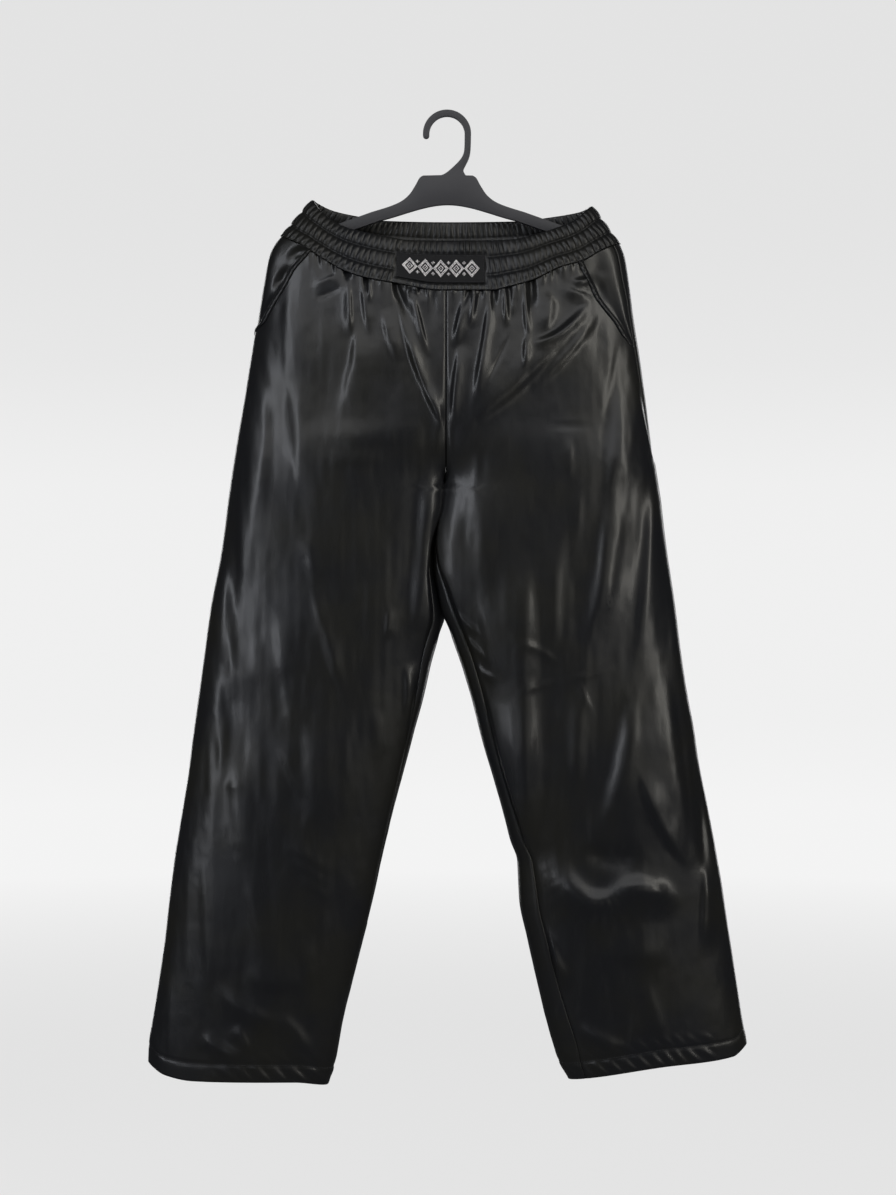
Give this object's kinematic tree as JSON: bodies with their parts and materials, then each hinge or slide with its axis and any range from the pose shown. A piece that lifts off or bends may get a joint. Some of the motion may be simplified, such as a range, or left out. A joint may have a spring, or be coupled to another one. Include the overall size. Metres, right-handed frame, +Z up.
{
  "type": "leather trousers on a hanger",
  "caption": "Wide-leg black faux leather trousers with a gathered elastic waistband and slanted pockets, hanging on a moulded plastic hanger",
  "frame": {"origin": "inner top of the hanger's hook, where a rail carries it, in the middle of its thickness", "axes": "+Z up, the front of the trousers faces -Y, +X towards the wearer's left leg; X is the width and Y the depth"},
  "size_m": [0.6883, 0.0885, 1.1204],
  "materials": {
    "leather": "satin, coated, softly creased",
    "label_fabric": "matte woven patch with pale bead embroidery",
    "hanger_plastic": "fine moulded texture"
  },
  "bodies": {
    "root": {"hanger": "hanger_plastic", "waistband": "leather", "label_patch": "label_fabric", "front_panel_right": "leather", "front_panel_left": "leather", "back_panel_right": "leather", "back_panel_left": "leather", "pocket_binding_right": "leather", "pocket_binding_left": "leather", "pocket_facing_right": "leather", "pocket_facing_left": "leather"}
  },
  "joints": []
}
